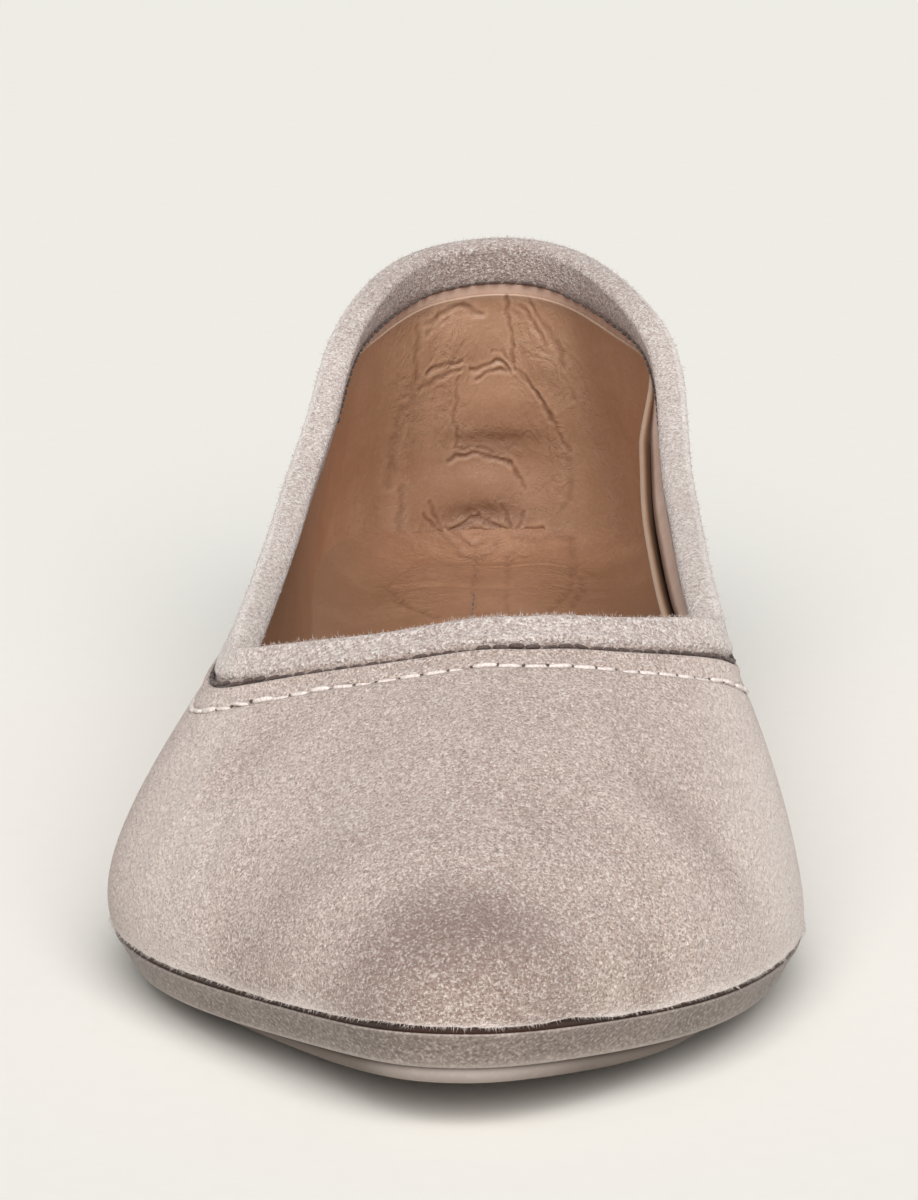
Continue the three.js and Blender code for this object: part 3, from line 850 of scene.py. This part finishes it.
# Creases of the lining on the back wall: depth, width and path, across and above the floor
BACK_CREASES = (
    (0.3, 0.29, ((0.3, 55.6), (1, 51.3), (1.3, 48.5), (1.7, 45.6), (2, 44.4))),
    (0.3, 0.36, ((-11.1, 51.6), (-9.5, 52.9), (-8.1, 53.6), (-6.1, 54), (-4.4, 53), (-3.4, 52.7))),
    (0.22, 0.29, ((-11.6, 50.2), (-9.9, 51.6), (-8.3, 52.4))),
    (0.34, 0.32, ((-12, 44.1), (-10.2, 45), (-8.2, 45.5), (-6.5, 45.7))),
    (0.26, 0.32, ((-13, 41.7), (-11, 42.8), (-8.6, 44), (-7.2, 44.3))),
    (0.42, 0.32, ((-5.1, 44.3), (-3.1, 44.8), (-1.3, 45.5), (0, 45.3), (1, 44.6))),
    (0.3, 0.29, ((-4.4, 42.9), (-2.7, 43.7), (-0.7, 44.3), (1, 44.1))),
    (0.26, 0.25, ((-1.7, 47.2), (-0.2, 47.1), (1, 45.9), (1.7, 45.4))),
    (0.2, 0.36, ((4.1, 54.1), (6.1, 51.2), (8.6, 48.2), (9.6, 45))),
    (0.2, 0.29, ((2.4, 53.9), (4.8, 51.1), (6.8, 48.3))),
    (0.22, 0.32, ((2, 44.4), (3.8, 42.7), (5.5, 40.6), (7.1, 38.1), (8.6, 35), (10.4, 31.5))),
    (0.22, 0.29, ((3.8, 43.4), (6.2, 39.2), (7.6, 36.4))),
    (0.09, 0.29, ((9.3, 43.9), (10.3, 41.7), (10.9, 39.6))),
    (0.2, 0.36, ((-12.7, 51.5), (-13.3, 48), (-13.7, 43.5))),
    (0.14, 0.5, ((-15.7, 39.5), (-16.7, 33.8), (-17.3, 26.5))),
    (0.16, 0.43, ((-15.5, 26.2), (-16, 22.7), (-15.8, 19.1), (-14.4, 16.5))),
    (0.2, 0.29, ((-7, 43.2), (-7.4, 39.9), (-7.8, 37.1), (-7.2, 34.9), (-7.3, 32.3))),
    (0.4, 0.32, ((-8.7, 29.8), (-7.2, 30.7), (-4.8, 30.9), (-2.1, 30.5), (-0.3, 29.9), (1.4, 29.3))),
    (0.26, 0.36, ((1.4, 29.3), (2.5, 27.5), (3.4, 25.4))),
    (0.22, 0.25, ((-7.5, 31.8), (-5.6, 32), (-3.4, 31.7), (-1.4, 31.2))),
    (0.11, 0.43, ((10, 30), (10.7, 27.2), (10.1, 23.5), (8.8, 21))),
    (0.5, 0.36, ((-13.8, 16.6), (-11.7, 16.9), (-9.7, 17.5), (-7.9, 18.9), (-6.2, 19.9), (-3.7, 20.8))),
    (0.5, 0.36, ((-3.7, 20.8), (-2.1, 19.9), (0, 18.9), (1.4, 18.2), (4.3, 18.6), (6.3, 19.1))),
    (0.34, 0.25, ((-8.9, 19.4), (-6.9, 19.2), (-4.9, 19.5))),
    (0.4, 0.25, ((-7.6, 18.5), (-5.6, 18.7), (-3.5, 18.9), (-1.4, 18.5))),
    (0.4, 0.25, ((-7.9, 17.6), (-5.6, 17.6), (-3.5, 17.8), (-0.7, 18.2), (1.1, 18))),
    (0.26, 0.29, ((-12.4, 21.9), (-9.7, 18.2))),
    (0.26, 0.29, ((-11.4, 23.6), (-9.3, 18.5))),
    (0.24, 0.29, ((-13.7, 18.8), (-9.7, 18.4))),
    (0.26, 0.29, ((-0.3, 22.9), (1.4, 18.3))),
    (0.24, 0.29, ((3.5, 21.8), (1.8, 18.3))),
)

# Swells of the padded back wall: height, middle and half sizes
BACK_SWELLS = (
    (0.7, (-6.4, 49.6), (6, 3.6)),
    (1, (-0.7, 38.8), (7, 4.6)),
    (0.9, (-3.5, 25.8), (6.5, 3.8)),
    (-0.4, (-1, 33), (8, 1.4)),
    (-0.5, (-3.7, 21.4), (5, 1.2)),
    (0.5, (5.5, 47.5), (3, 5)),
)

# Painted shade in the hollows of the back wall: strength, middle and half sizes
BACK_SHADES = (
    (0.22, (-1, 32.5), (9, 2.6)),
    (0.25, (-3.5, 21), (8, 2.4)),
    (0.12, (-3.5, 27), (9, 8)),
)

# Finely crumpled leather of the back wall: strength, middle and half sizes
BACK_CRUMPLES = (
    (0.6, (-8.5, 46), (4, 9)),
    (0.6, (4.5, 48), (4.5, 8)),
    (0.7, (-3.5, 19.5), (9, 3.5)),
    (0.45, (-1, 33), (9, 3)),
    (0.5, (-15.5, 40), (1.5, 14)),
    (0.5, (8.5, 30), (2, 10)),
)

# Creases of the footbed in plan: depth, width and path
SEAT_CREASES = (
    (0.42, 0.45, ((-9.7, 117), (-8.3, 115.4), (-6.2, 112.8), (-4.1, 111.6), (-2.1, 113.4), (-0.6, 116))),
    (0.36, 0.41, ((-8.3, 117.4), (-6.2, 115.6), (-4.2, 115), (-2.4, 116))),
    (0.36, 0.45, ((1.5, 116.6), (4.9, 115.4), (7.7, 116), (10.1, 115))),
    (0.42, 0.63, ((-16, 86.2), (-12.6, 80.3), (-9.5, 74.4))),
    (0.36, 0.54, ((-17.5, 95.4), (-13.9, 81.8))),
    (0.32, 0.54, ((10.1, 115), (10.8, 109), (10.2, 94.1), (8.1, 83.5), (6.8, 79))),
    (0.36, 0.54, ((11.7, 102), (11.9, 92.7), (10.1, 82))),
    (0.26, 0.45, ((0.4, 114), (0.8, 103.4), (0.5, 87.9), (0.8, 79))),
    (0.26, 0.32, ((-4, 113), (-4, 108), (-4.2, 95.6), (-4.5, 62))),
)

# Finely crumpled leather of the footbed in plan: strength, middle and half sizes
SEAT_CRUMPLES = (
    (0.9, (-3, 112), (9, 6)),
    (0.8, (-13, 88), (6, 18)),
    (0.8, (9, 96), (5, 16)),
)

# Painted shade beside the throat, in plan: strength, middle and half sizes
THROAT_SHADES = (
    (0.5, (-30, 12), (16, 34)),
)

# Swells of the footbed in plan: height, middle and half sizes
SEAT_SWELLS = (
    (0.7, (-10, 100), (5, 9)),
    (0.7, (5.6, 104), (4.2, 8)),
)


def faced_away(normal):
    """How far an inner face looks back at the toe, where less of the front light reaches it; painted shade is
    laid there.
    """
    return blend(0.1, 0.75, normal[:, 1])


def lining_columns():
    """Columns of the lining, close together on the back wall."""
    back = np.linspace(-BACK_SPAN, BACK_SPAN, BACK_COLUMNS, endpoint=False)
    side = np.linspace(BACK_SPAN, TURN - BACK_SPAN, SIDE_COLUMNS, endpoint=False)
    return np.concatenate([back, side])


def make_lining():
    """Leather lining of the wall: padded and creased at the back, loose along its medial edge."""
    u = lining_columns()
    shell = Shell(u)
    slack = loose_edge(u)
    top = lining_top(u)
    reach = shell.height - top - 0.3

    def face_offset(below):
        """The face's place inside the upper's outer face: it rolls in at its edge or hangs loose there."""
        return -LINING_FACE - 0.45 * np.exp(-below / 1.4) - LOOSE_SLACK * slack * np.exp(-below / 9.0)

    rows, dark, pale, crumple = [], [], [], []
    for k in range(LINING_ROWS + 1):
        below = reach * k / LINING_ROWS
        row = shell.at(top + below, face_offset(below))
        inward = -wall_normal(u, shell.place(top + below))
        at_back = blend(0.3 * LENGTH, 0.4 * LENGTH, row[:, 1])
        plane = row[:, [0, 2]]
        padded = blend(*PAD_LATERAL, plane[:, 0]) * (1.0 - blend(*PAD_MEDIAL, plane[:, 0]))
        pad = PAD_THICKNESS * padded * blend(0.0, 12.0, below)
        trough = 0.8 * at_back * creases(plane, BACK_CREASES)
        hollow_shade = at_back * patches(plane, BACK_SHADES)
        swell = at_back * patches(plane, BACK_SWELLS) * blend(0.0, 4.0, below)
        rows.append(row + inward * (at_back * pad + swell - trough)[:, None])
        behind = faced_away(-inward)
        foot = 0.14 * np.exp((below - reach) / 7.0)
        throat_shadow = patches(row[:, :2], THROAT_SHADES)
        # Painted shade in the creases and hollows, on the back wall that faces the toe, at the foot of the
        # wall and beside the throat
        dark.append(np.clip(1.2 * trough + hollow_shade + 0.46 * behind + foot + throat_shadow, 0.0, 0.8))
        crumple.append(at_back * np.clip(0.12 + patches(plane, BACK_CRUMPLES), 0.0, 1.0))
        # Painted highlights on the low ridges beside the creases, and a pale top edge
        pale.append(np.clip(np.exp(-below / 0.5) - 1.2 * np.minimum(trough, 0.0), 0.0, 0.9))
    for below in reach * np.linspace(1.0, 0.0, HIDDEN_ROWS)[:, None] ** 1.5:
        rows.append(shell.at(top + below, face_offset(below) + LINING_SHEET))
    points, faces = closed_ring(rows)
    faces = [face[::-1] for face in faces]
    masks = {
        "pale": row_mask(pale, HIDDEN_ROWS),
        "dark": row_mask(dark, HIDDEN_ROWS, 0.7),
        "crumple": row_mask(crumple, HIDDEN_ROWS),
    }
    add_piece("lining", points, faces, LINING, "lining_leather", (), masks)


def seat_relief(points):
    """Points of the footbed's top with its swells and creases."""
    shaped = points.copy()
    plan = points[:, :2]
    shaped[:, 2] += patches(plan, SEAT_SWELLS) - creases(plan, SEAT_CREASES)
    return shaped


def seat_height(plan):
    """Level of the footbed's top in its middle."""
    return ground_height(plan[..., 1]) + FOOTBED_TOP


def make_footbed():
    """Footbed whose rim rises along the wall until the lining covers it."""
    rise = 2.4 + 2.8 * blend(0.2 * LENGTH, 0.42 * LENGTH, FEATHER_RING[:, 1])
    rim = SHELL.at(SHELL.height - INSOLE_THICKNESS - rise, 0.3 - LINING_FACE)
    reach = rim - outline_level(WALL, FOOTBED_TOP)
    reach[:, 2] -= rise
    levels = [outline_level(WALL, FEATHER_LEVEL)]
    behind = faced_away(wall_normal(RING_U, np.full(COLUMNS, 0.2)))
    pale, dark = [], []
    for share in np.linspace(0.0, 1.0, RIM_ROWS):
        level = outline_level(WALL + RIM_WIDTH * share, FOOTBED_TOP) + reach * (1.0 - share) ** 3
        level[:, 2] += rise * (1.0 - share) ** 2.2
        levels.append(seat_relief(level))
        # Painted highlight along the rim's sides and painted shade at the heel, where the rim meets the
        # lining
        pale.append(0.35 * (1.0 - behind) * (1.0 - share) ** 1.3)
        dark.append(0.12 * behind * (1.0 - share) ** 1.5)
    points, faces = slab(levels, SEAT_STRIPS, seat_relief)
    plan = points[:, :2]
    # Painted shade beside the throat and in the creases
    masks = {"pale": np.zeros(len(points)), "dark": patches(plan, THROAT_SHADES)}
    masks["crumple"] = patches(plan, SEAT_CRUMPLES)
    masks["dark"][COLUMNS:] += np.clip(creases(plan[COLUMNS:], SEAT_CREASES), 0.0, 0.3)
    on_rim = slice(COLUMNS, COLUMNS * len(levels))
    masks["dark"][on_rim] += np.concatenate(dark)
    masks["pale"][on_rim] = np.concatenate(pale)
    add_piece("footbed", points, faces, FOOTBED_SHADED_LEATHER, "lining_leather", ["insole"], masks)


# Edge of the wrapped midsole: inset from the feather line, height over its underside and share of painted
# highlight
RAND_PROFILE = (
    (MIDSOLE_UNDERCUT + MIDSOLE_ROUNDING + 3.0, 0.0, 0.0),
    (MIDSOLE_UNDERCUT + MIDSOLE_ROUNDING, 0.0, 0.0),
    (MIDSOLE_UNDERCUT + 0.35, 0.2, 0.55),
    (MIDSOLE_UNDERCUT, 0.7, 0.1),
    (1.6, 1.7, 0.0),
    (1.05, 2.7, 0.0),
    (0.5, 3.6, 0.0),
    (0.15, 4.1, 0.05),
    (0.12, 4.3, 0.35),
    (0.4, MIDSOLE_THICKNESS, 0.0),
    (3.0, MIDSOLE_THICKNESS, 0.0),
)


def make_rand():
    """Wrapped midsole: a nearly straight wall that slopes under, with soft edges."""
    levels = [outline_level(inset, MIDSOLE_BOTTOM + height) for inset, height, _ in RAND_PROFILE]
    points, faces = slab(levels)
    pale = np.zeros(len(points))
    # Painted highlight along the rounded lower and upper edges
    pale[:COLUMNS * len(levels)] = np.repeat([share for _, _, share in RAND_PROFILE], COLUMNS)
    add_piece("rand", points, faces, RAND, "wrapped_rand", ["midsole"], {"pale": pale})


def outsole_step(y):
    """How far the outsole is set back from the midsole's lower edge."""
    share = length_share(y)
    side = blend(SIDE_STEP_START, BALL_START, share) * (OUTSOLE_SIDE_STEP - OUTSOLE_HEEL_STEP)
    lip = blend(LIP_START, LIP_END, share) * (OUTSOLE_TOE_STEP - OUTSOLE_SIDE_STEP)
    return OUTSOLE_HEEL_STEP + side + lip


# Edge of the outsole: inset from its own edge and height over its underside
OUTSOLE_PROFILE = ((OUTSOLE_BEVEL, 0.0), (0.45, 0.3), (0.1, 0.75), (0.0, 1.1), (0.1, MIDSOLE_BOTTOM))


def make_outsole():
    """Outsole sheet, darkened as painted shade everywhere but on the lip at the toe."""
    inset = MIDSOLE_UNDERCUT + MIDSOLE_ROUNDING + outsole_step(FEATHER_RING[:, 1])
    levels = [outline_level(inset + extra, height) for extra, height in OUTSOLE_PROFILE]
    points, faces = slab(levels)
    # Painted shade everywhere but on the lip at the toe
    dark = 0.9 * (1.0 - blend(0.95, 0.985, length_share(points[:, 1])))
    add_piece("outsole_sheet", points, faces, RUBBER, "outsole_rubber", ["outsole"], {"dark": dark})


def make_heel():
    """Low heel block with a straight breast."""
    inset = MIDSOLE_UNDERCUT + MIDSOLE_ROUNDING + OUTSOLE_HEEL_STEP + OUTSOLE_BEVEL
    breast = LENGTH * (0.5 - HEEL_BREAST)
    profile = ((HEEL_TAPER + 0.3, 0.0), (HEEL_TAPER, 0.3), (0.0, HEEL_LIFT))
    from_front = np.roll(RING_U, COLUMNS // 2)
    behind = from_front[feather_point(from_front, np.full(COLUMNS, -inset - HEEL_TAPER))[:, 1] > breast]
    rings = []
    for extra, height in profile:
        plan = feather_point(behind, np.full(len(behind), -inset - extra))
        plan[[0, -1], 1] = breast
        rings.append(np.column_stack([plan, np.full(len(behind), height)]))
    count = len(behind)
    faces = ring_faces(len(rings), count, False)
    faces.append(tuple(range(count)))
    faces.append(tuple((len(rings) - 1) * count + i for i in reversed(range(count))))
    # Painted shade over the whole heel block
    masks = {"dark": np.full(len(rings) * count, 0.9)}
    add_piece("heel_block", np.concatenate(rings), faces, RUBBER, "outsole_rubber", ["heel"], masks)


def make_margin():
    """Lasting margin in the gap over the sole's edge, coloured very dark as painted shade of the gap."""
    corners = ((0.35, -CLEARANCE - 0.2), (0.35, 1.0), (1.6, 1.0), (1.6, -CLEARANCE - 0.2))
    points, faces = closed_ring([outline_level(inset, FEATHER_LEVEL + height) for inset, height in corners])
    add_piece("lasting_margin_shade", points, faces, MARGIN_SHADE_LEATHER, "lining_leather")


def joined(shapes):
    """Points and faces of many shapes as one mesh."""
    points, faces, base = [], [], 0
    for shape_points, shape_faces in shapes:
        points.append(shape_points)
        faces += [tuple(base + i for i in face) for face in shape_faces]
        base += len(shape_points)
    return np.concatenate(points), faces


def stitch(path, radius, sides=6):
    """One stitch: a short closed tube with rounded ends."""
    along = np.gradient(path, axis=0)
    along /= np.linalg.norm(along, axis=1, keepdims=True)
    side = np.cross(along, (0.0, 0.0, 1.0))
    side /= np.linalg.norm(side, axis=1, keepdims=True)
    up = np.cross(side, along)
    share = np.linspace(-1.0, 1.0, len(path))
    swell = radius * np.sqrt(np.clip(1.0 - share ** 6, 0.04, 1.0))
    angles = np.arange(sides) * 2.0 * np.pi / sides
    rings = [path + (side * math.cos(a) + up * math.sin(a)) * swell[:, None] for a in angles]
    points = np.stack(rings, 1).reshape(-1, 3)
    faces = [face[::-1] for face in ring_faces(len(path), sides, False)]
    faces.append(tuple(reversed(range(sides))))
    faces.append(tuple(range(len(points) - sides, len(points))))
    return points, faces


def along_line(line, normal, places):
    """Points and outward directions at places along a line; places past an end go on from the other end."""
    run = np.concatenate([[0.0], np.cumsum(np.linalg.norm(np.diff(line, axis=0), axis=1))])
    places = places % run[-1]
    path = np.column_stack([np.interp(places, run, line[:, k]) for k in range(3)])
    out = np.column_stack([np.interp(places, run, normal[:, k]) for k in range(3)])
    return path, out, run[-1]


# Stitch rows: pitch, length, radius, lift off the surface, seed, first place in pitches, stray and sag
STITCH_ROWS = {
    "vamp_stitches": (3.0, 2.95, 0.31, 0.42, 5, 0.5, 0.12, 0.3),
    # Needle holes: dark tubes as painted shade of the holes
    "needle_hole_shades": (3.0, 0.45, 0.22, 0.0, 8, 0.0, 0.05, 0.0),
    # Dark groove stitches, which also paint the groove's shade
    "groove_stitches_and_shade": (2.0, 1.9, 0.3, 0.08, 6, 0.5, 0.1, 0.0),
    "binding_stitches": (2.3, 1.9, 0.22, 0.12, 7, 0.5, 0.05, 0.0),
    "footbed_stitches": (3.0, 2.1, 0.16, 0.05, 9, 0.5, 0.05, 0.0),
}


def stitch_row(name, line, normal, material, slot):
    """Stitches along a line: each stands off by its lift in the middle and dips at its ends."""
    pitch, length, radius, lift, seed, first, stray, sag = STITCH_ROWS[name]
    rng = np.random.default_rng(seed)
    total = along_line(line, normal, np.zeros(1))[2]
    places = np.linspace(-1.0, 1.0, STITCH_POINTS)
    arch = 1.0 - places ** 2
    shapes = []
    for i in range(int(total / pitch)):
        middle = (i + first + 0.05 * rng.normal()) * pitch
        half = 0.5 * length * (1.0 + 0.08 * rng.normal())
        path, out, _ = along_line(line, normal, middle + half * places)
        path = path + out * (lift * arch - 0.4 * radius)[:, None]
        path[:, 2] -= sag * arch
        path[:, 2] += stray * (rng.normal() + 0.8 * rng.normal() * places)
        shapes.append(stitch(path, radius * (1.0 + 0.12 * rng.normal())))
    add_piece(name, *joined(shapes), material, slot)


def seam_line(depth, offset):
    """Line round the shoe at a depth below the topline, with its outward directions."""
    fine = Shell(np.linspace(0.0, TURN, SEAM_POINTS))
    return fine.at(depth, offset), wall_normal(fine.u, fine.place(depth))


def make_seams():
    """Pale stitches on the vamp with dark needle holes that paint the holes' shade, dark ones in the groove
    that also paint its shade, and dark ones inside the heel and on the footbed.
    """
    line, normal = seam_line(VAMP_STITCH_DEPTH, -0.2)
    stitch_row("vamp_stitches", line, normal, PALE_THREAD, "suede")
    stitch_row("needle_hole_shades", line, normal, DARK_THREAD_AND_SHADE, "suede")
    line, normal = seam_line(GROOVE_DEPTH + 0.15, -0.02)
    stitch_row("groove_stitches_and_shade", line, normal, DARK_THREAD_AND_SHADE, "binding_suede")
    heel = Shell(np.linspace(-4.0, 4.0, 500))
    depth = binding_inner_depth(heel.u) - 0.55
    inward = -wall_normal(heel.u, heel.place(depth))
    stitch_row("binding_stitches", heel.at(depth, -WALL - BINDING_FACE), inward, DARK_THREAD_AND_SHADE, "binding_suede")
    line = np.linspace((-4.0, 112.0), (-4.5, 62.0), SEAT_SEAM_POINTS)
    line = seat_relief(np.column_stack([line, seat_height(line)]))
    upright = np.tile([0.0, 0.0, 1.0], (SEAT_SEAM_POINTS, 1))
    stitch_row("footbed_stitches", line, upright, DARK_THREAD_AND_SHADE, "lining_leather")


def fibres(base, tip, radius):
    """Closed three-sided spikes from base to tip."""
    along = tip - base
    side = np.cross(along, (0.31, 0.12, 0.94))
    side /= np.linalg.norm(side, axis=1, keepdims=True)
    up = np.cross(along, side)
    up /= np.linalg.norm(up, axis=1, keepdims=True)
    corners = [base + radius * (side * math.cos(a) + up * math.sin(a)) for a in (0.0, 2.1, 4.2)]
    points = np.stack(corners + [tip], 1).reshape(-1, 3)
    faces = []
    for i in range(0, len(points), 4):
        faces += [(i, i + 2, i + 1), (i, i + 1, i + 3), (i + 1, i + 2, i + 3), (i + 2, i, i + 3)]
    return points, faces


def make_fuzz():
    """Loose fibres of the raw lower edge and of the binding's nap."""
    rng = np.random.default_rng(11)
    u = rng.uniform(0.0, TURN, EDGE_FIBRES)
    up = rng.uniform(0.0, 0.5, EDGE_FIBRES)
    shell = Shell(u)
    depth = shell.height - up
    base = shell.at(depth)
    base[:, 2] += np.interp(u, RING_U, edge_gap(RING_U)) * np.exp(-up / EDGE_FADE)
    out = wall_normal(u, shell.place(depth))
    reach = rng.uniform(0.15, 0.5, EDGE_FIBRES)[:, None]
    tip = base + reach * (0.7 * out + 0.5 * rng.normal(size=(EDGE_FIBRES, 3)) + np.array([0.0, 0.0, -0.7]))
    add_piece("edge_fibres", *fibres(base - 0.1 * out, tip, 0.045), PALE_THREAD, "suede")
    u = rng.uniform(0.0, TURN, BINDING_FIBRES)
    shell = Shell(u)
    angle = rng.uniform(0.1, 2.6, BINDING_FIBRES)[:, None]
    half = BINDING_FACE + WALL / 2.0
    base = shell.over(0.0, 0.0)
    normal = wall_normal(u, np.ones(BINDING_FIBRES))
    rise = shell.over(0.0, 1.0) - base
    base = base + normal * (half * np.cos(angle) - WALL / 2.0) + rise * (BINDING_FACE * np.sin(angle) - 0.05)
    way = normal * np.cos(angle) + rise * np.sin(angle)
    reach = rng.uniform(0.15, 0.42, BINDING_FIBRES)[:, None]
    tip = base + reach * (way + 0.6 * rng.normal(size=(BINDING_FIBRES, 3)))
    add_piece("binding_fibres", *fibres(base, tip, 0.04), NAP_THREAD, "binding_suede")


def make_stage():
    """Flat pale paper floor."""
    shader = Shader("studio_paper", Roughness=0.9, Specular_IOR_Level=0.1)
    tooth = shader.noise(300.0, 2.0, 0.5)
    colour = shader.tint(srgb(240.5, 237.5, 230.5), srgb(241.5, 238.5, 231.5), tooth, 0.3, 0.7)
    paper = shader.finish(colour, shader.bump(tooth, 0.02, 0.0001))
    mesh = bpy.data.meshes.new("studio_floor")
    corners = [(x * FLOOR_HALF, y * FLOOR_HALF, 0.0) for x, y in ((-1, -1), (1, -1), (1, 1), (-1, 1))]
    mesh.from_pydata(corners, [], [(0, 1, 2, 3)])
    mesh.materials.append(paper)
    add_object("studio_floor", mesh)


def make_lights():
    """Even studio light: a white surround and one broad soft light from the front and above."""
    scene = bpy.context.scene
    scene.view_settings.view_transform = "Standard"
    world = bpy.data.worlds.new("studio")
    world.use_nodes = True
    background = world.node_tree.nodes["Background"]
    background.inputs["Color"].default_value = SURROUND_COLOUR
    background.inputs["Strength"].default_value = 1.0 - FRONT_LIGHT_SHARE
    scene.world = world
    lamp = bpy.data.lights.new("front_light", "SUN")
    lamp.angle = math.radians(FRONT_LIGHT_SPREAD)
    lamp.color = FRONT_LIGHT_COLOUR
    lamp.energy = math.pi * FRONT_LIGHT_SHARE / math.sin(math.radians(FRONT_LIGHT_RISE))
    holder = add_object("front_light", lamp)
    holder.rotation_euler = (math.radians(90.0 - FRONT_LIGHT_RISE), 0.0, math.radians(FRONT_LIGHT_TURN))


def make_camera():
    """Camera in the place and with the lens that were fitted to the photograph."""
    camera = bpy.data.cameras.new("camera")
    camera.lens = CAMERA_LENS
    holder = add_object("camera", camera)
    holder.location = (np.array(CAMERA_PLACE) + SHIFT) * MM
    holder.rotation_euler = (math.radians(90.0 - CAMERA_PITCH), 0.0, math.radians(-CAMERA_YAW))
    bpy.context.scene.camera = holder


make_camera()
make_upper()
make_binding()
make_facing()
make_lining()
make_footbed()
make_rand()
make_outsole()
make_heel()
make_margin()
make_seams()
make_fuzz()
make_stage()
make_lights()
